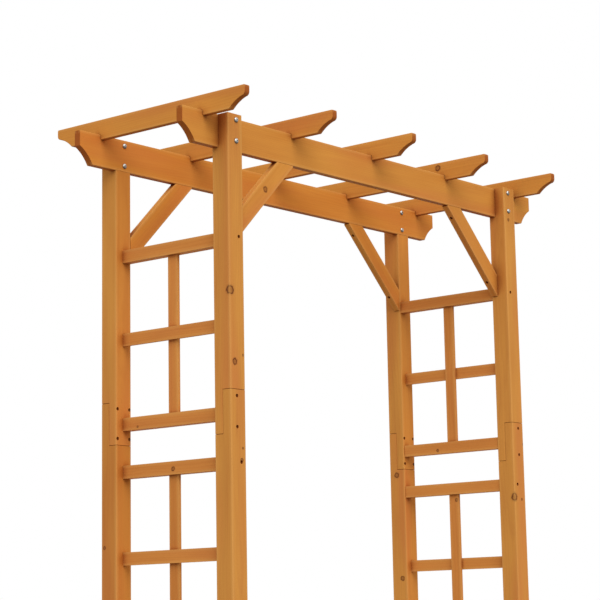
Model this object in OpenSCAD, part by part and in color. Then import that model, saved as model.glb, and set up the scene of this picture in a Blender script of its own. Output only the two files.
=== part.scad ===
// Wooden garden arbour: four square posts, two notched-in beams, five cross slats,
// four corner braces and a trellis of rails and thin laths down each side.
// X runs along the beams, Y along the slats, Z up. The origin is on the ground at
// the middle of the four feet, and "left" and "front" are -X and -Y.

/* [Frame] */
// Width over the outer faces of the posts, along the beams
frame_w = 1070; // [900:5:1500]
// Depth over the outer faces of the posts, along the slats
frame_d = 380; // [300:1:900]
// Height of the posts, which is also the height of the beams' top edges
post_h = 2006; // [1660:1:2600]
// Side of the square posts
post_w = 45; // [38:1:70]
// Length of an upper post, down to the end of its tongue
upper_post_len = 682; // [420:1:900]
// Length of the half lap that joins an upper post to a lower one
lap_len = 93; // [60:1:160]

/* [Beams] */
// Thickness of a beam, and of the braces under it
beam_t = 17; // [12:0.5:22]
// Height of a beam
beam_h = 72; // [55:1:110]
// Length of a beam beyond the outer face of a post
beam_overhang = 110; // [60:1:200]
// Height of the straight nose above the cove at a beam's end
beam_nose = 34.5; // [15:0.5:50]
// Length of the cove under a beam's end
beam_cove_run = 38; // [20:1:60]
// Radius of the cove under a beam's end
beam_cove_r = 90; // [60:1:150]

/* [Slats] */
// Number of cross slats
slat_count = 5; // [3:1:7]
// Thickness of a slat
slat_t = 15; // [10:0.5:25]
// Height of a slat
slat_h = 45; // [38:1:70]
// Depth of the notch that lets a slat down over a beam
slat_notch = 11; // [5:0.5:20]
// Length of a slat beyond the outer face of a post
slat_overhang = 92.5; // [60:0.5:200]
// Clear gap between an outermost slat and the post beside it
slat_clear = 33; // [5:1:60]
// Height of the straight nose at a slat's end
slat_nose = 14; // [8:1:18]
// Radius of the round under a slat's nose
slat_round_r = 9; // [4:0.5:12]
// Length of the cove under a slat's end
slat_cove_run = 36; // [20:1:50]
// Radius of the cove under a slat's end
slat_cove_r = 85; // [40:1:120]

/* [Braces] */
// Length of a brace's long edge along the beam, and down the post
brace_reach = 204; // [120:1:300]
// Width of a brace, square to its length
brace_w = 40; // [25:1:60]

/* [Side trellis] */
// Windows one above the other in each side
window_count = 3; // [1:1:3]
// Height of a window over both of its rails
window_h = 399; // [250:0.5:440]
// Clear gap between one window and the next
window_gap = 75.5; // [20:0.5:120]
// Distance from the top of the posts down to the first rail
first_rail_drop = 251.5; // [200:0.5:300]
// Height of a rail
rail_h = 28; // [20:0.5:45]
// Thickness of a rail, across the side
rail_t = 22; // [16:0.5:24]
// Distance from the outer face of a post in to the outer face of a rail
rail_set = 20; // [5:0.5:20]
// Width of the thin cross and upright laths
lath_w = 28; // [20:0.5:40]
// Thickness of the thin laths
lath_t = 7.5; // [5:0.5:9]
// Depth that a lath is let into a post or a rail
lath_let_in = 6; // [3:0.5:12]

/* [Bolts] */
// Diameter of the bolt holes through posts and beams
bolt_hole_d = 6.5; // [5:0.5:10]
// Distance between the two bolts at each joint
bolt_pitch = 46; // [30:1:48]
// Distance from a post's face in the passage to its bolts
bolt_set = 18.5; // [12:0.5:25]

/* [Fits] */
// Clearance on each side of a notch or a slot
fit_gap = 0.3; // [0:0.1:1]

/* [Hidden] */
$fn = 96;
over = 1;
SIDES = [["left", -1], ["right", 1]];
ENDS = [["front", -1], ["back", 1]];
LENGTHS = ["upper", "lower"];

function post_name(e, s, l) = str("post_", e[0], "_", s[0], "_", l);
function beam_name(e) = str("beam_", e[0]);
function slat_name(i) = str("slat_", i);
function brace_name(e, s) = str("brace_", e[0], "_", s[0]);
function rail_name(s, i) = str("rail_", s[0], "_", i);
function lath_name(s, i) = str("lath_", s[0], "_", i);
function stile_name(s, i) = str("stile_", s[0], "_", i);

// Faces of the post in the right back quarter
post_out_x = frame_w / 2;
post_in_x = post_out_x - post_w;
post_out_y = frame_d / 2;
post_in_y = post_out_y - post_w;
lap_bottom = post_h - upper_post_len;
lap_top = lap_bottom + lap_len;

beam_len = frame_w + 2 * beam_overhang;
beam_bottom = post_h - beam_h;
slat_len = frame_d + 2 * slat_overhang;
slat_bottom = post_h - slat_notch;
slat_last_x = post_out_x + slat_clear + slat_t / 2;

// Across a side: rails and cross laths share an outer face, and the uprights lie
// against the inner faces of the cross laths.
rail_out_x = post_out_x - rail_set;
stile_out_x = rail_out_x - lath_t;

// Height of a window's top, of the top of rail i, and of the middle of window i
function window_top(i) = post_h - first_rail_drop - (i - 1) * (window_h + window_gap);
function rail_top(i) = i % 2 == 1
    ? window_top((i + 1) / 2)
    : window_top(i / 2) - window_h + rail_h;
function window_mid(i) = window_top(i) - window_h / 2;

// Centre of a circle of radius r that passes through [0, 0] and [run, -drop], on
// the lower outer side of that chord
function cove_centre(run, drop, r) =
    let (chord = norm([run, drop]), away = sqrt(r * r - chord * chord / 4))
    [run / 2 - away * drop / chord, -drop / 2 - away * run / chord];

module stained(shade) { color(shade) children(); }

// Turns a piece made in the right back quarter to side s and end e
module to_side(s) {
    if (s[1] < 0) mirror([1, 0, 0]) children();
    else children();
}
module to_end(e) {
    if (e[1] < 0) mirror([0, 1, 0]) children();
    else children();
}

// A block from one corner to the other
module block(low, high) { translate(low) cube(high - low); }

// Bolt holes through the joint of a post and a beam, in the right back quarter
module bolt_holes() {
    for (up = [-1, 1])
        translate([post_in_x + bolt_set, post_in_y - over, beam_bottom + beam_h / 2 + up * bolt_pitch / 2])
            rotate([-90, 0, 0]) cylinder(d = bolt_hole_d, h = post_w + 2 * over);
}

// Shallow slots in a post's inner face for the ends of the cross laths
module cross_lath_slots() {
    for (i = [1:window_count])
        block([rail_out_x - lath_t - fit_gap, post_in_y - over, window_mid(i) - lath_w / 2 - fit_gap],
              [rail_out_x + fit_gap, post_in_y + lath_let_in, window_mid(i) + lath_w / 2 + fit_gap]);
}

// Square post down to the end of its tongue, notched at the top for the beam
module upper_post() {
    half = post_out_y - post_w / 2;
    difference() {
        block([post_in_x, post_in_y, lap_bottom], [post_out_x, post_out_y, post_h]);
        block([post_in_x - over, post_in_y - over, beam_bottom],
              [post_out_x + over, post_in_y + beam_t, post_h + over]);
        block([post_in_x - over, half, lap_bottom - over], [post_out_x + over, post_out_y + over, lap_top]);
        cross_lath_slots();
        bolt_holes();
    }
}

// Square post from the ground up, with the outer half of the lap at its top
module lower_post() {
    half = post_out_y - post_w / 2;
    difference() {
        block([post_in_x, post_in_y, 0], [post_out_x, post_out_y, lap_top]);
        block([post_in_x - over, post_in_y - over, lap_bottom], [post_out_x + over, half, lap_top + over]);
        cross_lath_slots();
    }
}

module post(e, s, l) {
    stained(l == "upper" ? "#C88A45" : "#C08040")
        to_side(s) to_end(e) {
            if (l == "upper") upper_post();
            else lower_post();
        }
}

// Side view of a beam: a board with a cove cut under each end
module beam_outline() {
    cove = cove_centre(beam_cove_run, beam_h - beam_nose, beam_cove_r);
    difference() {
        translate([-beam_len / 2, 0]) square([beam_len, beam_h]);
        for (s = SIDES)
            translate([s[1] * (beam_len / 2 - cove[0]), beam_h - beam_nose + cove[1]])
                circle(r = beam_cove_r, $fn = 180);
    }
}

module beam(e) {
    stained("#C98C46")
        to_end(e)
            difference() {
                translate([0, post_in_y + beam_t, beam_bottom])
                    rotate([90, 0, 0]) linear_extrude(beam_t) beam_outline();
                for (s = SIDES) to_side(s) bolt_holes();
            }
}

// Side view of a slat: rounded nose and cove at each end, a notch over each beam
module slat_outline() {
    cove_drop = slat_h - slat_nose - slat_round_r;
    cove = cove_centre(slat_cove_run, cove_drop, slat_cove_r);
    round_y = slat_len / 2 - slat_round_r;
    nose_z = slat_h - slat_nose;
    difference() {
        translate([-slat_len / 2, 0]) square([slat_len, slat_h]);
        for (e = ENDS) {
            translate([e[1] * (round_y - cove[0]), cove_drop + cove[1]])
                circle(r = slat_cove_r, $fn = 180);
            mirror([e[1] < 0 ? 1 : 0, 0])
                difference() {
                    translate([round_y, -over]) square([slat_round_r + over, nose_z + over]);
                    translate([round_y, nose_z]) circle(r = slat_round_r);
                }
            translate([e[1] * (post_in_y + beam_t / 2), (slat_notch - over) / 2])
                square([beam_t + 2 * fit_gap, slat_notch + over], center = true);
        }
    }
}

module slat(i) {
    x = slat_last_x * (2 * (i - 1) / (slat_count - 1) - 1);
    stained("#CE9350")
        translate([x - slat_t / 2, 0, slat_bottom])
            rotate([90, 0, 90]) linear_extrude(slat_t) slat_outline();
}

// Diagonal under the beam, cut level at the top and upright against the post
module brace(e, s) {
    skew = brace_w * sqrt(2);
    stained("#C58543")
        to_side(s) to_end(e)
            translate([post_in_x, post_in_y + beam_t, beam_bottom])
                rotate([90, 0, 0]) linear_extrude(beam_t)
                    polygon([[0, -brace_reach], [0, skew - brace_reach], [skew - brace_reach, 0], [-brace_reach, 0]]);
}

// Thick rail between two posts, slotted on the side where the upright enters
module rail(s, i) {
    top = rail_top(i);
    slot_z = i % 2 == 1 ? top - rail_h : top;
    stained("#C07C3C")
        to_side(s)
            difference() {
                block([rail_out_x - rail_t, -post_in_y, top - rail_h], [rail_out_x, post_in_y, top]);
                block([stile_out_x - lath_t - fit_gap, -lath_w / 2 - fit_gap, slot_z - lath_let_in],
                      [stile_out_x + fit_gap, lath_w / 2 + fit_gap, slot_z + lath_let_in]);
            }
}

// Thin lath across the middle of a window, let into both posts
module cross_lath(s, i) {
    reach = post_in_y + lath_let_in;
    stained("#B97636")
        to_side(s)
            block([rail_out_x - lath_t, -reach, window_mid(i) - lath_w / 2],
                  [rail_out_x, reach, window_mid(i) + lath_w / 2]);
}

// Thin upright lath in the middle of a window, let into both rails
module stile(s, i) {
    low = window_top(i) - window_h + rail_h - lath_let_in;
    high = window_top(i) - rail_h + lath_let_in;
    stained("#B4703A")
        to_side(s)
            block([stile_out_x - lath_t, -lath_w / 2, low], [stile_out_x, lath_w / 2, high]);
}

for (e = ENDS, s = SIDES, l = LENGTHS)
    post(e, s, l);
for (e = ENDS)
    beam(e);
for (i = [1:slat_count])
    slat(i);
for (e = ENDS, s = SIDES)
    brace(e, s);
for (s = SIDES, i = [1:2 * window_count])
    rail(s, i);
for (s = SIDES, i = [1:window_count])
    cross_lath(s, i);
for (s = SIDES, i = [1:window_count])
    stile(s, i);
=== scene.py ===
import math

import bpy
import numpy as np
from mathutils import Matrix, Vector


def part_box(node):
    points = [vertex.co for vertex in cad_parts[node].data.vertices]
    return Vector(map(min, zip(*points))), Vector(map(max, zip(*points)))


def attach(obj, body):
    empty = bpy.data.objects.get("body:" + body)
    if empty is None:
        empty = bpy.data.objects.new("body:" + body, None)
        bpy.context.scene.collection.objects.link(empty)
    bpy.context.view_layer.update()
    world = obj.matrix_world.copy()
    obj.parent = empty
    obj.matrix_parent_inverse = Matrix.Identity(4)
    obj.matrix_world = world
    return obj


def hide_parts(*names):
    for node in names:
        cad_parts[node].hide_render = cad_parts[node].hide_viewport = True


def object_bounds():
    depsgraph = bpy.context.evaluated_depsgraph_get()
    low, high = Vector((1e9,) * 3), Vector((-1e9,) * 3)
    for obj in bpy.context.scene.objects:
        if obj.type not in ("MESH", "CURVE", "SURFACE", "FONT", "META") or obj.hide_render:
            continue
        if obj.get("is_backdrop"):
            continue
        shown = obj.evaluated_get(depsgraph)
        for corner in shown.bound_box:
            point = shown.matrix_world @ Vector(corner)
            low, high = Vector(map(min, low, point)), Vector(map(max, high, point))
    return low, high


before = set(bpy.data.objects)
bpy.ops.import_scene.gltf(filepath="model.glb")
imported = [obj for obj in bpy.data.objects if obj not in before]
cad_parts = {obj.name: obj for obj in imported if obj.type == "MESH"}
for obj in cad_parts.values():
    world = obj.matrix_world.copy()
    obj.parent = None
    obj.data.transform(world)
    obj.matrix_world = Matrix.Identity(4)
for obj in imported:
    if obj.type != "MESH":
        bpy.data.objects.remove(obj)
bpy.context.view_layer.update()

# ---------------------------------------------------------------------------
# Posts: four square posts of planed fir, each in two lengths that meet in a half
# lap. The upper lengths are notched for the beams. Every length has eased arrises,
# and the screws of the lap and of the rails sit in holes sunk with a countersink.

SIDES = {"left": -1, "right": 1}
ENDS = {"front": -1, "back": 1}
MM = 0.001
chance = np.random.default_rng(7)


def corners(node):
    """The lowest and the highest corner of a node's box, as arrays."""
    low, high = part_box(node)
    return np.array(low), np.array(high)


def place_object(name, data):
    """Puts a mesh, a light or a camera into the scene as an object."""
    placed = bpy.data.objects.new(name, data)
    bpy.context.scene.collection.objects.link(placed)
    return placed


# An outline has a corner where it turns by more than this, and short runs are eased by a share of an arris
CORNER_TURN, SHORT_SHARE = math.radians(30), 0.34


def timber(name, outline, low, high, axis, arris, long_run=30 * MM):
    """A planed timber: a closed outline in the two axes other than axis, carried square along axis from low
    to high. Arrises beside a run longer than long_run are eased by arris, shorter ones and outer corners by
    a third of it, and the joints between the short runs of a curve and the inner corners are left alone."""
    outline = np.array(outline, float)
    facing = 1 if axis == 0 else -1
    area = np.cross(outline, np.roll(outline, -1, 0)).sum()
    if area * facing < 0:
        outline = outline[::-1]
    n = len(outline)
    low_ring = np.arange(n)
    next_ring = np.roll(low_ring, -1)
    points = np.insert(np.tile(outline, (2, 1)), axis, np.repeat([low, high], n), axis=1)
    walls = np.stack([low_ring, next_ring, next_ring + n, low_ring + n], 1)
    mesh = bpy.data.meshes.new(name)
    ends = [low_ring[::-1].tolist(), (low_ring + n).tolist()]
    mesh.from_pydata(points.tolist(), [], ends + walls.tolist())

    run = np.roll(outline, -1, 0) - outline
    before = np.roll(run, 1, 0)
    turn = np.arctan2(np.cross(before, run), (before * run).sum(1)) * facing
    corner_weight = np.where(turn > CORNER_TURN, SHORT_SHARE, 0.0)
    run_weight = np.where(np.linalg.norm(run, axis=1) > long_run, 1.0, SHORT_SHARE)
    pair = np.empty(2 * len(mesh.edges), int)
    mesh.edges.foreach_get("vertices", pair)
    one, two = np.sort(pair.reshape(-1, 2), 1).T
    first = np.where(two - one == 1, one, two) % n
    weight = np.where(two - one == n, corner_weight[one % n], run_weight[first])
    mesh.attributes.new("bevel_weight_edge", "FLOAT", "EDGE").data.foreach_set("value", weight)

    piece = place_object(name, mesh)
    easing = piece.modifiers.new("easing", "BEVEL")
    easing.width, easing.segments = arris, 3
    easing.limit_method, easing.use_clamp_overlap = "WEIGHT", False
    return piece


def lathe(name, profile, centres, directions, turns=32):
    """One mesh of equal turned bodies. profile is rows of radius and height from the bottom to the top,
    turned round an axis along each direction, with height 0 at each centre, and closed flat at both ends."""
    profile, centres = np.array(profile, float), np.array(centres, float)
    axis = np.array(directions, float)
    axis /= np.linalg.norm(axis, axis=1, keepdims=True)
    aside = np.cross(axis, np.where(np.abs(axis[:, 2:]) > 0.9, [1.0, 0, 0], [0, 0, 1.0]))
    aside /= np.linalg.norm(aside, axis=1, keepdims=True)
    across = np.cross(axis, aside)
    angle = np.arange(turns) * 2 * math.pi / turns
    radius, height = profile.T
    points = (centres[:, None, None]
              + height[None, :, None, None] * axis[:, None, None]
              + (radius[:, None] * np.cos(angle))[None, :, :, None] * aside[:, None, None]
              + (radius[:, None] * np.sin(angle))[None, :, :, None] * across[:, None, None])
    rows, ring = len(profile), np.arange(turns)
    start = np.arange(len(centres))[:, None] * rows * turns
    below = start[:, :, None] + np.arange(rows - 1)[None, :, None] * turns
    col, step = ring, (ring + 1) % turns
    quads = np.stack([below + col, below + step, below + turns + step, below + turns + col], -1)
    bottoms, tops = start + ring[::-1], start + (rows - 1) * turns + ring
    faces = quads.reshape(-1, 4).tolist() + bottoms.tolist() + tops.tolist()
    mesh = bpy.data.meshes.new(name)
    mesh.from_pydata(points.reshape(-1, 3).tolist(), [], faces)
    return mesh


# A pilot hole, a cone and a mouth that reaches just past the surface, as rows of radius and height
SCREW_HOLE = [(0.4 * MM, -11 * MM), (1.6 * MM, -11 * MM), (1.6 * MM, -6 * MM),
              (3.4 * MM, -4 * MM), (3.9 * MM, 1 * MM), (0.4 * MM, 1 * MM)]
screw_places, screw_directions = [], []


def sink_screws(piece, centres, directions):
    """Sinks countersunk holes into a timber at centres on its surface, square to each outward direction, and
    notes where the screws go. Returns the cutter, which settle then takes away."""
    centres, directions = np.array(centres, float), np.array(directions, float)
    cutter = place_object("cutter", lathe("cutter", SCREW_HOLE, centres, directions))
    sinking = piece.modifiers.new("sinking", "BOOLEAN")
    sinking.operation, sinking.solver, sinking.object = "DIFFERENCE", "EXACT", cutter
    screw_places.extend(centres.tolist())
    screw_directions.extend(directions.tolist())
    return cutter


def settle(piece, cutter=None):
    """Keeps what the modifiers make as the piece's own mesh, and leaves only real arrises sharp."""
    seen = piece.evaluated_get(bpy.context.evaluated_depsgraph_get())
    mesh = bpy.data.meshes.new_from_object(seen)
    piece.modifiers.clear()
    piece.data = mesh
    if cutter:
        bpy.data.objects.remove(cutter)
    mesh.shade_smooth()
    mesh.set_sharp_from_angle(angle=math.radians(12))


def lay_grain(piece, along):
    """Gives each point its place in the log that the timber was sawn from, in millimetres, as attributes:
    place_mm runs along the timber and across it from its middle, half_mm is half its size in the same three
    directions, log_mm is where its middle lay in the log, with the log's heart as the axis, and along is the
    direction of its length."""
    mesh = piece.data
    points = np.empty(3 * len(mesh.vertices))
    mesh.vertices.foreach_get("co", points)
    points = points.reshape(-1, 3)
    along = np.array(along, float) / np.linalg.norm(along)
    side = np.cross([0, 1.0, 0] if abs(along[1]) < 0.9 else [1.0, 0, 0], along)
    side /= np.linalg.norm(side)
    turned = points @ np.stack([along, side, np.cross(along, side)]).T * 1000
    low, high = turned.min(0), turned.max(0)
    heart = chance.uniform(0, 2 * math.pi)
    away = chance.uniform(35, 80)
    log = [chance.uniform(0, 9000), away * math.cos(heart), away * math.sin(heart)]
    for title, value in (("place_mm", turned - (low + high) / 2), ("half_mm", (high - low) / 2),
                         ("log_mm", log), ("along", along)):
        values = np.broadcast_to(value, points.shape).ravel()
        mesh.attributes.new(title, "FLOAT_VECTOR", "POINT").data.foreach_set("vector", values)


def linear(code):
    """An sRGB hex colour as the linear colour that a shader takes."""
    values = [int(code[i:i + 2], 16) / 255 for i in (1, 3, 5)]
    return [v / 12.92 if v <= 0.04045 else ((v + 0.055) / 1.055) ** 2.4 for v in values] + [1]


def add(tree, kind, inputs=(), **settings):
    """Adds a node. settings are its own options, and inputs maps a socket's name or number to a value or to
    another node's output."""
    node = tree.nodes.new(kind)
    for option, value in settings.items():
        setattr(node, option, value)
    for socket, value in dict(inputs).items():
        if isinstance(value, bpy.types.NodeSocket):
            tree.links.new(value, node.inputs[socket])
        else:
            node.inputs[socket].default_value = value
    return node


def bare_material(name):
    """A new material and its empty node tree."""
    material = bpy.data.materials.new(name)
    material.use_nodes = True
    material.node_tree.nodes.clear()
    return material, material.node_tree


def stained_fir(name, pale, ripe, cut_end, underside, knots=()):
    """Planed fir under a honey-brown oil stain. The eye gets long soft streaks, low-contrast year rings that
    turn to arcs on cut ends, a redder stain where end grain drinks more of it, knots with a dark rim, and a
    satin surface, with painted shade in corners and on undersides, a painted redder bounce light on the
    faces turned to the middle, and a lighter band along arrises that is partly a painted highlight. pale,
    ripe and cut_end are colours, and underside is how far undersides are darkened by painted shade."""
    material, t = bare_material(name)
    place = add(t, "ShaderNodeAttribute", attribute_name="place_mm").outputs["Vector"]
    half = add(t, "ShaderNodeAttribute", attribute_name="half_mm").outputs["Vector"]
    log = add(t, "ShaderNodeAttribute", attribute_name="log_mm").outputs["Vector"]
    spot = add(t, "ShaderNodeVectorMath", {0: place, 1: log}, operation="ADD").outputs[0]

    # Year rings, 4.5 mm apart, round a heart that wanders by about a centimetre over 420 mm
    slow = add(t, "ShaderNodeVectorMath", {0: spot, 1: (1 / 420, 1 / 60, 1 / 60)},
               operation="MULTIPLY").outputs[0]
    wander = add(t, "ShaderNodeTexNoise", {"Vector": slow, "Scale": 1.0, "Detail": 2.0}).outputs["Fac"]
    across = add(t, "ShaderNodeVectorMath", {0: spot, 1: (0, 1, 1)}, operation="MULTIPLY").outputs[0]
    reach = add(t, "ShaderNodeVectorMath", {0: across}, operation="LENGTH").outputs["Value"]
    bent = add(t, "ShaderNodeMath", {0: wander, 1: 34.0, 2: reach}, operation="MULTIPLY_ADD").outputs[0]
    year = add(t, "ShaderNodeMath", {0: bent, 1: 4.5}, operation="DIVIDE").outputs[0]
    part = add(t, "ShaderNodeMath", {0: year}, operation="FRACT").outputs[0]
    ring = add(t, "ShaderNodeValToRGB", {"Fac": part})
    ring.color_ramp.elements[0].color = (0.15, 0.15, 0.15, 1)
    ring.color_ramp.elements[1].color = (0.2, 0.2, 0.2, 1)
    ring.color_ramp.elements.new(0.5).color = (0.3, 0.3, 0.3, 1)
    ring.color_ramp.elements.new(0.84).color = (1, 1, 1, 1)
    ring = ring.outputs["Color"]

    # Fibres 2.2 mm wide and 150 mm long, far coarser than real ones so that they show, and clouds of heavier
    # stain 34 mm wide and 260 mm long
    thin = add(t, "ShaderNodeVectorMath", {0: spot, 1: (1 / 150, 1 / 2.2, 1 / 2.2)},
               operation="MULTIPLY").outputs[0]
    fibre = add(t, "ShaderNodeTexNoise", {"Vector": thin, "Scale": 1.0, "Detail": 3.0,
                                          "Roughness": 0.6}).outputs["Fac"]
    broad = add(t, "ShaderNodeVectorMath", {0: spot, 1: (1 / 260, 1 / 34, 1 / 34)},
                operation="MULTIPLY").outputs[0]
    cloud = add(t, "ShaderNodeTexNoise", {"Vector": broad, "Scale": 1.0, "Detail": 2.0}).outputs["Fac"]
    piece_tone = add(t, "ShaderNodeTexWhiteNoise", {"Vector": log}).outputs["Value"]

    share = add(t, "ShaderNodeMath", {0: ring, 1: 0.20, 2: 0.0}, operation="MULTIPLY_ADD").outputs[0]
    share = add(t, "ShaderNodeMath", {0: fibre, 1: 0.45, 2: share}, operation="MULTIPLY_ADD").outputs[0]
    share = add(t, "ShaderNodeMath", {0: cloud, 1: 0.9, 2: share}, operation="MULTIPLY_ADD").outputs[0]
    share = add(t, "ShaderNodeMath", {0: piece_tone, 1: 0.25, 2: share}, operation="MULTIPLY_ADD").outputs[0]
    share = add(t, "ShaderNodeMapRange", {"Value": share, "From Min": 0.45,
                                          "From Max": 1.3}).outputs["Result"]
    colour = add(t, "ShaderNodeMix", {"Factor": share, 6: linear(pale), 7: linear(ripe)},
                 data_type="RGBA").outputs[2]

    # Rosy stretches, some 60 mm wide and half a metre long, where the wood took more of the red in the stain
    wide = add(t, "ShaderNodeVectorMath", {0: spot, 1: (1 / 500, 1 / 60, 1 / 60)},
               operation="MULTIPLY").outputs[0]
    rosy = add(t, "ShaderNodeTexNoise", {"Vector": wide, "Scale": 1.0, "Detail": 1.0}).outputs["Fac"]
    rosy = add(t, "ShaderNodeMapRange", {"Value": rosy, "From Min": 0.5, "From Max": 0.7,
                                         "To Max": 0.5}).outputs["Result"]
    colour = add(t, "ShaderNodeMix", {"Factor": rosy, 6: colour, 7: linear("#CE7A42")},
                 data_type="RGBA").outputs[2]

    # Timbers of a darker lot take more of the stain all over
    deeper = add(t, "ShaderNodeAttribute", attribute_name="deeper").outputs["Fac"]
    colour = add(t, "ShaderNodeMix", {"Factor": deeper, 6: colour, 7: linear("#98481A")},
                 data_type="RGBA").outputs[2]

    # Knots: brown inside, a dark rim that a noise of 6 mm makes uneven, and a fading shade around it
    where = add(t, "ShaderNodeTexCoord").outputs["Object"]
    near = None
    for centre, radius in knots:
        away = add(t, "ShaderNodeVectorMath", {0: where, 1: centre}, operation="DISTANCE").outputs["Value"]
        away = add(t, "ShaderNodeMath", {0: away, 1: radius}, operation="DIVIDE").outputs[0]
        if near is not None:
            away = add(t, "ShaderNodeMath", {0: near, 1: away}, operation="MINIMUM").outputs[0]
        near = away
    if near is not None:
        burl = add(t, "ShaderNodeTexNoise", {"Vector": where, "Scale": 170.0, "Detail": 2.0}).outputs["Fac"]
        rough = add(t, "ShaderNodeMath", {0: burl, 1: 0.8, 2: near}, operation="MULTIPLY_ADD").outputs[0]
        halved = add(t, "ShaderNodeMath", {0: rough, 1: 0.5}, operation="MULTIPLY").outputs[0]
        knot = add(t, "ShaderNodeValToRGB", {"Fac": halved})
        stops = knot.color_ramp.elements
        stops[0].color, stops[1].color = (0.6, 0.6, 0.6, 1), (0, 0, 0, 1)
        for at, level in ((0.3, 0.5), (0.5, 0.45), (0.6, 0.95), (0.68, 0.9), (0.78, 0.25), (0.9, 0.12)):
            stops.new(at).color = (level, level, level, 1)
        colour = add(t, "ShaderNodeMix", {"Factor": knot.outputs["Color"], 6: colour, 7: linear("#62301A")},
                     data_type="RGBA").outputs[2]

    # End grain: where the surface faces along the timber
    facing = add(t, "ShaderNodeNewGeometry").outputs["Normal"]
    lengthwise = add(t, "ShaderNodeAttribute", attribute_name="along").outputs["Vector"]
    end = add(t, "ShaderNodeVectorMath", {0: facing, 1: lengthwise}, operation="DOT_PRODUCT").outputs["Value"]
    end = add(t, "ShaderNodeMath", {0: end}, operation="ABSOLUTE").outputs[0]
    end = add(t, "ShaderNodeMapRange", {"Value": end, "From Min": 0.2, "From Max": 0.65,
                                        "To Max": 0.8}).outputs["Result"]
    colour = add(t, "ShaderNodeMix", {"Factor": end, 6: colour, 7: linear(cut_end)},
                 data_type="RGBA").outputs[2]

    # Painted shade: within 45 mm of corners and of where timbers touch, the colour goes to a deep red-brown
    open_air = add(t, "ShaderNodeAmbientOcclusion", {"Distance": 0.045}, samples=8).outputs["AO"]
    painted_corner_shade = add(t, "ShaderNodeMapRange", {"Value": open_air, "From Min": 0.85, "From Max": 0.35,
                                         "To Max": 0.9}).outputs["Result"]
    colour = add(t, "ShaderNodeMix", {"Factor": painted_corner_shade, 6: colour, 7: linear("#7C3210")},
                 data_type="RGBA").outputs[2]

    # Painted bounce light: the faces turned to the middle of the arbour, out of the sun, get a redder orange
    # tone
    depth = add(t, "ShaderNodeSeparateXYZ", {0: where}).outputs["Y"]
    front_or_back = add(t, "ShaderNodeMath", {0: depth}, operation="SIGN").outputs[0]
    facing_y = add(t, "ShaderNodeSeparateXYZ", {0: facing}).outputs["Y"]
    painted_bounce = add(t, "ShaderNodeMath", {0: front_or_back, 1: facing_y}, operation="MULTIPLY").outputs[0]
    painted_bounce = add(t, "ShaderNodeMapRange", {"Value": painted_bounce, "From Min": -0.2, "From Max": -0.9,
                                           "To Max": 0.22}).outputs["Result"]
    colour = add(t, "ShaderNodeMix", {"Factor": painted_bounce, 6: colour, 7: linear("#DC781C")},
                 data_type="RGBA").outputs[2]

    # Undersides: painted shade, a deeper red-brown on faces that look down
    facing_z = add(t, "ShaderNodeSeparateXYZ", {0: facing}).outputs["Z"]
    under = add(t, "ShaderNodeMapRange", {"Value": facing_z, "From Min": -0.75, "From Max": -0.95,
                                          "To Max": underside}).outputs["Result"]
    colour = add(t, "ShaderNodeMix", {"Factor": under, 6: colour, 7: linear("#8C3C12")},
                 data_type="RGBA").outputs[2]

    # Arrises: along a long edge a lighter band, partly stain rubbed thinner and partly a painted highlight of
    # a broader roundover, fades out some 6 to 8 mm from it
    inside = add(t, "ShaderNodeVectorMath", {0: place}, operation="ABSOLUTE").outputs[0]
    inside = add(t, "ShaderNodeVectorMath", {0: half, 1: inside}, operation="SUBTRACT").outputs[0]
    inside = add(t, "ShaderNodeSeparateXYZ", {0: inside})
    edge = add(t, "ShaderNodeMath", {0: inside.outputs["Y"], 1: inside.outputs["Z"]},
               operation="MAXIMUM").outputs[0]
    edge = add(t, "ShaderNodeMath", {0: cloud, 1: 6.0, 2: edge}, operation="MULTIPLY_ADD").outputs[0]
    edge = add(t, "ShaderNodeMapRange", {"Value": edge, "From Min": 10.0, "From Max": 3.5,
                                         "To Max": 0.4}).outputs["Result"]
    colour = add(t, "ShaderNodeMix", {"Factor": edge, 6: colour, 7: linear("#E2A85E")},
                 data_type="RGBA").outputs[2]

    # Planed surface: fibres and late wood raised by a fraction of a millimetre, under a thin satin film
    relief = add(t, "ShaderNodeMath", {0: ring, 1: 0.35, 2: fibre}, operation="MULTIPLY_ADD").outputs[0]
    bump = add(t, "ShaderNodeBump", {"Strength": 0.35, "Distance": 0.4 * MM,
                                     "Height": relief}).outputs["Normal"]
    gloss = add(t, "ShaderNodeMapRange", {"Value": fibre, "To Min": 0.52, "To Max": 0.68}).outputs["Result"]
    surface = add(t, "ShaderNodeBsdfPrincipled", {"Base Color": colour, "Roughness": gloss, "IOR": 1.4,
                                                  "Normal": bump, "Specular IOR Level": 0.06})
    add(t, "ShaderNodeOutputMaterial", {"Surface": surface.outputs[0]})
    return material


# Timbers of a darker lot, and how far each goes to the deeper colour
DEEPER = {"post_back_left_lower": 0.25, "stile_left_2": 0.2, "beam_front": 0.07, "brace_front_right": 0.05}


def join_frame(piece, along, material, node):
    """Lays the grain, gives the finish, and lets the timber stand for its node of the frame."""
    lay_grain(piece, along)
    depth = np.full(len(piece.data.vertices), DEEPER.get(node, 0.0))
    piece.data.attributes.new("deeper", "FLOAT", "POINT").data.foreach_set("value", depth)
    piece.data.materials.clear()
    piece.data.materials.append(material)
    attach(piece, "root")
    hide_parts(node)


def knots_in(rows):
    """Centres and radii of knots in metres, from rows of a node's name, the knot's place in millimetres from
    the lowest corner of that node's box, and its radius in millimetres."""
    return [((corners(node)[0] + np.array(place) * MM).tolist(), radius * MM)
            for node, place, radius in rows]


def middle_height(node):
    """The height of the middle of a node's box."""
    low, high = corners(node)
    return (low[2] + high[2]) / 2


POST_ARRIS, LAP_SEAM = 1.4 * MM, 0.6 * MM
INNER_SCREWS_OFF, OUTER_SCREWS_OFF = 18 * MM, 3 * MM
SCREWS_BELOW_TOP, SCREWS_ABOVE_TIP = 14 * MM, 14.5 * MM
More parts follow.
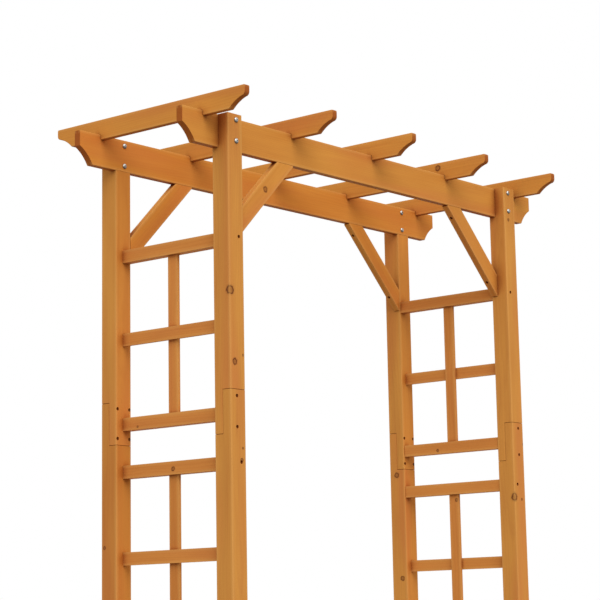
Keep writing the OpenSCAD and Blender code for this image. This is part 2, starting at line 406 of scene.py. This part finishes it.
# The rails with a screw in the posts' outer faces, on the upper and on the lower lengths
UPPER_RAIL, LOWER_RAILS = 1, (3, 4, 5, 6)
beam_low, beam_high = corners("beam_back")
rail_low, rail_high = corners("rail_right_1")

POST_KNOTS = [("post_front_left_upper", (3, 0, 300), 9), ("post_front_left_upper", (14, 0, 150), 6.5),
              ("post_front_left_upper", (40, 0, 165), 2.5), ("post_front_left_lower", (36, 0, 1295), 2.5),
              ("post_front_left_lower", (32, 0, 1270), 4), ("post_back_left_lower", (0, 36, 1105), 3.5),
              ("post_back_right_lower", (0, 24, 1310), 6.5), ("post_back_right_lower", (0, 14, 1050), 5.5),
              ("post_front_right_lower", (0, 0, 1235), 9), ("post_front_right_lower", (30, 0, 1230), 3),
              ("post_front_right_lower", (44, 0, 1365), 3), ("post_front_right_upper", (17, 0, 600), 3.5)]
post_fir = stained_fir("post_fir", "#DF9D4A", "#C6813E", "#98481A", 0.3, knots_in(POST_KNOTS))
for end, e in ENDS.items():
    for side, s in SIDES.items():
        low, high = corners(f"post_{end}_{side}_upper")
        foot, top = corners(f"post_{end}_{side}_lower")
        inner, outer = (low[1], high[1]) if e > 0 else (high[1], low[1])
        middle = (inner + outer) / 2
        notch = inner + e * (beam_high[1] - beam_low[1])
        centre_x = (low[0] + high[0]) / 2

        tongue_face = middle - e * LAP_SEAM / 4
        upper = timber(f"{end}_{side}_upper_post", [
            (inner, low[2] + LAP_SEAM), (inner, beam_low[2]), (notch, beam_low[2]), (notch, high[2]),
            (outer, high[2]), (outer, top[2]), (tongue_face, top[2]), (tongue_face, low[2] + LAP_SEAM)],
            low[0], high[0], 0, POST_ARRIS)
        lap_heights = (top[2] - SCREWS_BELOW_TOP, low[2] + SCREWS_ABOVE_TIP)
        places = [(centre_x + INNER_SCREWS_OFF * k, inner, z) for z in lap_heights for k in (-1, 1)]
        facings = [(0, -e, 0)] * len(places)
        rail_x = s * (rail_low[0] + rail_high[0]) / 2
        places.append((rail_x, outer, middle_height(f"rail_{side}_{UPPER_RAIL}")))
        facings.append((0, e, 0))
        settle(upper, sink_screws(upper, places, facings))
        join_frame(upper, (0, 0, 1), post_fir, f"post_{end}_{side}_upper")

        lower = timber(f"{end}_{side}_lower_post", [
            (inner, foot[2]), (outer, foot[2]), (outer, top[2] - LAP_SEAM), (middle, top[2] - LAP_SEAM),
            (middle, low[2]), (inner, low[2])], low[0], high[0], 0, POST_ARRIS)
        places = [(centre_x + s * OUTER_SCREWS_OFF, outer, z) for z in lap_heights]
        places += [(rail_x, outer, middle_height(f"rail_{side}_{i}")) for i in LOWER_RAILS]
        settle(lower, sink_screws(lower, places, [(0, e, 0)] * len(places)))
        join_frame(lower, (0, 0, 1), post_fir, f"post_{end}_{side}_lower")

# ---------------------------------------------------------------------------
# Beams: two planed fir boards on edge, let into the inner faces of the posts and
# bolted there. Each end has an upright nose over a hollow cove.

ROOF_ARRIS = 1.0 * MM
BEAM_NOSE, BEAM_COVE, BEAM_COVE_R = 34.5 * MM, 38 * MM, 90 * MM
ROOF_KNOTS = [("slat_4", (0, 140, 32), 7), ("brace_front_left", (106, 0, 136), 6)]
roof_fir = stained_fir("roof_fir", "#E29D47", "#C87F39", "#98481A", 0.7, knots_in(ROOF_KNOTS))


def arc(start, finish, radius, steps):
    """Points of a circle of that radius from start to finish. It passes on the left of the straight line
    between them where radius is positive and on the right where it is negative, and its ends are left out."""
    start, finish = np.array(start, float), np.array(finish, float)
    chord = finish - start
    half = np.linalg.norm(chord) / 2
    normal = np.array([-chord[1], chord[0]]) / (2 * half)
    centre = (start + finish) / 2 - normal * math.copysign(math.sqrt(radius ** 2 - half ** 2), radius)
    first = math.atan2(*(start - centre)[::-1])
    sweep = -2 * math.asin(half / radius)
    angle = first + sweep * np.arange(1, steps) / steps
    return (centre + abs(radius) * np.stack([np.cos(angle), np.sin(angle)], 1)).tolist()


for end in ENDS:
    low, high = corners(f"beam_{end}")
    nose_z = high[2] - BEAM_NOSE
    right_half = [(high[0] - BEAM_COVE, low[2])]
    right_half += arc(right_half[0], (high[0], nose_z), BEAM_COVE_R, 16)
    right_half += [(high[0], nose_z), (high[0], high[2])]
    left_half = [(low[0] + high[0] - x, z) for x, z in reversed(right_half)]
    beam = timber(f"{end}_beam", right_half + left_half, low[1], high[1], 1, ROOF_ARRIS)
    settle(beam)
    join_frame(beam, (1, 0, 0), roof_fir, f"beam_{end}")

# ---------------------------------------------------------------------------
# Slats: thinner fir boards on edge across both beams, notched down over them and
# held by a screw from above at each crossing. Their ends are rounded over a cove.

SLAT_NOSE, SLAT_ROUND, SLAT_COVE, SLAT_COVE_R = 14 * MM, 9 * MM, 36 * MM, 85 * MM
SLAT_TOP_ROUND, NOTCH_GAP = 3 * MM, 0.3 * MM
notch_low, notch_high = beam_low[1] - NOTCH_GAP, beam_high[1] + NOTCH_GAP
for i in range(1, 6):
    low, high = corners(f"slat_{i}")
    nose_z = high[2] - SLAT_NOSE
    round_y, round_z = high[1] - SLAT_ROUND, nose_z - SLAT_ROUND
    back_half = [(notch_low, low[2]), (notch_low, beam_high[2]), (notch_high, beam_high[2]),
                 (notch_high, low[2]), (round_y - SLAT_COVE, low[2])]
    back_half += arc(back_half[-1], (round_y, round_z), SLAT_COVE_R, 14)
    back_half += [(round_y, round_z)] + arc((round_y, round_z), (high[1], nose_z), -SLAT_ROUND, 8)
    top_round = [(high[1], high[2] - SLAT_TOP_ROUND), (high[1] - SLAT_TOP_ROUND, high[2])]
    back_half += [(high[1], nose_z), top_round[0]] + arc(*top_round, -SLAT_TOP_ROUND, 4) + [top_round[1]]
    front_half = [(-y, z) for y, z in reversed(back_half)]
    slat = timber(f"slat_board_{i}", back_half + front_half, low[0], high[0], 0, ROOF_ARRIS, 0)
    x = (low[0] + high[0]) / 2
    places = [(x, e * (beam_low[1] + beam_high[1]) / 2, high[2]) for e in ENDS.values()]
    settle(slat, sink_screws(slat, places, [(0, 0, 1)] * 2))
    join_frame(slat, (0, 1, 0), roof_fir, f"slat_{i}")

# ---------------------------------------------------------------------------
# Braces: fir struts at 45 degrees in the plane of the beams, cut level under the
# beam and upright against the post. Their sharp tips are taken off, and a screw goes
# through the lower edge near each end.

BRACE_W, BLUNT = 40 * MM, 2.5 * MM
BEAM_SCREW, POST_SCREW = 28 * MM, 34 * MM
for end in ENDS:
    for side, s in SIDES.items():
        low, high = corners(f"brace_{end}_{side}")
        post_x, beam_z = (high[0] if s > 0 else low[0]), high[2]
        reach = beam_z - low[2]
        skew = BRACE_W * math.sqrt(2)
        brace = timber(f"{end}_{side}_brace", [
            (post_x - s * BLUNT, beam_z - reach + BLUNT), (post_x, beam_z - reach + 2 * BLUNT),
            (post_x, beam_z - reach + skew), (post_x - s * (reach - skew), beam_z),
            (post_x - s * (reach - 2 * BLUNT), beam_z), (post_x - s * (reach - BLUNT), beam_z - BLUNT)],
            low[1], high[1], 1, ROOF_ARRIS)
        middle_y = (low[1] + high[1]) / 2
        places = [(post_x - s * (reach - BEAM_SCREW), middle_y, beam_z - BEAM_SCREW),
                  (post_x - s * POST_SCREW, middle_y, beam_z - reach + POST_SCREW)]
        settle(brace, sink_screws(brace, places, [(-s, 0, -1)] * 2))
        join_frame(brace, (s, 0, -1), roof_fir, f"brace_{end}_{side}")

# ---------------------------------------------------------------------------
# Rails: square-sawn fir rails between the posts of each side, two to a window,
# screwed through the posts' outer faces.

RAIL_ARRIS = 0.8 * MM
TRELLIS_KNOTS = [("rail_right_2", (0, 185, 8), 3.5), ("stile_right_2", (0, 6, 335), 4),
                 ("rail_left_3", (0, 140, 12), 4.5), ("rail_left_2", (0, 245, 6), 2.5)]
trellis_fir = stained_fir("trellis_fir", "#E19549", "#C67A3B", "#96481A", 0.0, knots_in(TRELLIS_KNOTS))


def plain_bar(name, node, axis, arris):
    """A timber with a plain rectangular outline: its node's box, carried along axis and eased by arris."""
    low, high = corners(node)
    u, v = (k for k in range(3) if k != axis)
    outline = [(low[u], low[v]), (high[u], low[v]), (high[u], high[v]), (low[u], high[v])]
    bar = timber(name, outline, low[axis], high[axis], axis, arris)
    settle(bar)
    return bar


for side in SIDES:
    for i in range(1, 7):
        rail = plain_bar(f"{side}_rail_{i}", f"rail_{side}_{i}", 1, RAIL_ARRIS)
        join_frame(rail, (0, 1, 0), trellis_fir, f"rail_{side}_{i}")

# ---------------------------------------------------------------------------
# Laths: thin fir laths, one level and one upright in each window, let into the
# posts and the rails and pinned together where they cross.

LATH_ARRIS = 0.5 * MM
for side in SIDES:
    for i in range(1, 4):
        for kind, along, axis in (("lath", (0, 1, 0), 1), ("stile", (0, 0, 1), 0)):
            lath = plain_bar(f"{side}_{kind}_{i}_strip", f"{kind}_{side}_{i}", axis, LATH_ARRIS)
            join_frame(lath, along, trellis_fir, f"{kind}_{side}_{i}")

# ---------------------------------------------------------------------------
# Bolts: two zinc-plated steel bolts through each post and beam, with a domed head
# outside and a domed cap nut of the same look inside.

# Zinc plating: bright and satin, with a faint mottle of about 1 mm, and painted shade and a painted dark
# reflection on the lower side
zinc, t = bare_material("zinc_plated_steel")
where = add(t, "ShaderNodeTexCoord").outputs["Object"]
spangle = add(t, "ShaderNodeTexNoise", {"Vector": where, "Scale": 900.0, "Detail": 2.0}).outputs["Fac"]
tint = add(t, "ShaderNodeMix", {"Factor": spangle, 6: linear("#D8D8D4"), 7: linear("#A6A7A5")},
           data_type="RGBA").outputs[2]
facing = add(t, "ShaderNodeSeparateXYZ", {0: add(t, "ShaderNodeNewGeometry").outputs["Normal"]}).outputs["Z"]
# Painted shade and dark reflection on the faces of each head that turn down
under = add(t, "ShaderNodeMapRange", {"Value": facing, "From Min": 0.05, "From Max": -0.5,
                                      "To Max": 0.85}).outputs["Result"]
tint = add(t, "ShaderNodeMix", {"Factor": under, 6: tint, 7: linear("#3A342E")},
           data_type="RGBA").outputs[2]
dull = add(t, "ShaderNodeMapRange", {"Value": spangle, "To Min": 0.2, "To Max": 0.38}).outputs["Result"]
surface = add(t, "ShaderNodeBsdfPrincipled", {"Base Color": tint, "Roughness": dull, "Metallic": 1.0})
add(t, "ShaderNodeOutputMaterial", {"Surface": surface.outputs[0]})

HEAD_R, HEAD_H, BOLT_PITCH, BOLT_SET = 5.8 * MM, 3.8 * MM, 46 * MM, 18.5 * MM
BRIM = 0.6 * MM
lift = np.linspace(0, math.pi / 2, 9)[1:-1]
# From the foot, sunk 1 mm into the timber, up a short brim, over a quarter ellipse and into a small dimple
dome = [(HEAD_R - 0.3 * MM, -1.0 * MM), (HEAD_R, BRIM)]
dome += [(HEAD_R * math.cos(a) + 0.2 * MM * (1 - math.cos(a)), BRIM + (HEAD_H - BRIM) * math.sin(a))
         for a in lift]
dome += [(1.9 * MM, HEAD_H - 0.02 * MM), (1.6 * MM, HEAD_H - 0.3 * MM), (1.5 * MM, HEAD_H - 2.2 * MM)]
beam_middle = (beam_low[2] + beam_high[2]) / 2
for end, e in ENDS.items():
    for side, s in SIDES.items():
        low, high = corners(f"post_{end}_{side}_upper")
        inner, outer = (low[1], high[1]) if e > 0 else (high[1], low[1])
        x = (low[0] if s > 0 else high[0]) + s * BOLT_SET
        heights = [beam_middle + k * BOLT_PITCH / 2 for k in (-1, 1)]
        places = [(x, y, z) for z in heights for y in (inner, outer)]
        mesh = lathe(f"{end}_{side}_bolts", dome, places, [(0, -e, 0), (0, e, 0)] * 2)
        mesh.shade_smooth()
        mesh.set_sharp_from_angle(angle=math.radians(35))
        mesh.materials.append(zinc)
        bolts = place_object(f"{end}_{side}_bolts", mesh)
        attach(bolts, "root")

# ---------------------------------------------------------------------------
# Screws: dull dark steel wood screws, one at the bottom of each sunk hole. Their heads
# are flat with a small round recess.

# Screw steel: blackened and dull, with a brown mottle of about 1.4 mm
dark_steel, t = bare_material("dark_screw_steel")
where = add(t, "ShaderNodeTexCoord").outputs["Object"]
mottle = add(t, "ShaderNodeTexNoise", {"Vector": where, "Scale": 700.0, "Detail": 3.0}).outputs["Fac"]
tint = add(t, "ShaderNodeMix", {"Factor": mottle, 6: linear("#4A3526"), 7: linear("#241810")},
           data_type="RGBA").outputs[2]
surface = add(t, "ShaderNodeBsdfPrincipled", {"Base Color": tint, "Roughness": 0.5, "Metallic": 0.6})
add(t, "ShaderNodeOutputMaterial", {"Surface": surface.outputs[0]})
SCREW_HEAD = [(0.8 * MM, -8 * MM), (1.5 * MM, -6.5 * MM), (2.9 * MM, -4.6 * MM),
              (2.6 * MM, -4.3 * MM), (0.9 * MM, -4.2 * MM), (0.6 * MM, -5.0 * MM)]
mesh = lathe("screws", SCREW_HEAD, screw_places, screw_directions, 16)
mesh.materials.append(dark_steel)
screws = place_object("screws", mesh)
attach(screws, "root")

# ---------------------------------------------------------------------------
# Stage: a pale floor, a white surround, soft light and the camera. The light comes
# from above and from the front left, as under a large white sky.


def directly_seen(tree):
    """1 for what the camera sees by itself, in a reflection or through glass, and 0 for light on wood."""
    path = add(tree, "ShaderNodeLightPath")
    seen = add(tree, "ShaderNodeMath", {0: path.outputs["Is Camera Ray"], 1: path.outputs["Is Glossy Ray"]},
               operation="MAXIMUM").outputs[0]
    return add(tree, "ShaderNodeMath", {0: seen, 1: path.outputs["Is Transmission Ray"]},
               operation="MAXIMUM").outputs[0]


# The floor is a square of twice this, in metres
REACH = 20
floor_mesh = bpy.data.meshes.new("floor")
floor_mesh.from_pydata([(-REACH, -REACH, 0), (REACH, -REACH, 0), (REACH, REACH, 0), (-REACH, REACH, 0)], [],
                       [(0, 1, 2, 3)])
floor = place_object("floor", floor_mesh)
# Matt paper, grey to the light that strikes the wood and pale to the eye, and clear from beneath
paper, t = bare_material("floor_paper")
seen = directly_seen(t)
tint = add(t, "ShaderNodeMix", {"Factor": seen, 6: linear("#9C9892"), 7: linear("#E6E4E0")},
           data_type="RGBA").outputs[2]
surface = add(t, "ShaderNodeBsdfPrincipled", {"Base Color": tint, "Roughness": 0.9}).outputs[0]
below = add(t, "ShaderNodeNewGeometry").outputs["Backfacing"]
clear = add(t, "ShaderNodeBsdfTransparent").outputs[0]
surface = add(t, "ShaderNodeMixShader", {0: below, 1: surface, 2: clear}).outputs[0]
add(t, "ShaderNodeOutputMaterial", {"Surface": surface})
floor_mesh.materials.append(paper)
floor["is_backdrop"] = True

world = bpy.data.worlds.new("surround")
world.use_nodes = True
bpy.context.scene.world = world
t = world.node_tree
t.nodes.clear()
seen = directly_seen(t)
sky = add(t, "ShaderNodeBackground", {"Color": (1, 1, 1, 1), "Strength": 0.74})
white = add(t, "ShaderNodeBackground", {"Color": (1, 1, 1, 1), "Strength": 1.0})
both = add(t, "ShaderNodeMixShader", {0: seen, 1: sky.outputs[0], 2: white.outputs[0]})
add(t, "ShaderNodeOutputWorld", {"Surface": both.outputs[0]})

key = bpy.data.lights.new("key", "SUN")
key.energy, key.angle = 1.63, math.radians(50)
SUN_TILT, SUN_TURN = math.radians(50), math.radians(-32)
place_object("key", key).rotation_euler = (SUN_TILT, 0, SUN_TURN)

HEADING, RISE, ROLL = math.radians(49.948), math.radians(10.826), math.radians(-1.042)
STANDPOINT = (-3.6195, -2.9768, 0.9089)
camera = bpy.data.cameras.new("camera")
camera.sensor_width, camera.lens, camera.shift_y = 36, 121.3, -0.0823
camera_object = place_object("camera", camera)
forward = np.array([math.sin(HEADING) * math.cos(RISE), math.cos(HEADING) * math.cos(RISE), math.sin(RISE)])
level = np.array([math.cos(HEADING), -math.sin(HEADING), 0])
up = np.cross(level, forward)
right = level * math.cos(ROLL) + up * math.sin(ROLL)
up = np.cross(right, forward)
pose = np.eye(4)
pose[:3, :3] = np.stack([right, up, -forward], 1)
pose[:3, 3] = STANDPOINT
camera_object.matrix_world = Matrix(pose.tolist())
bpy.context.scene.camera = camera_object
bpy.context.scene.view_settings.view_transform = "Standard"

low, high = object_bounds()
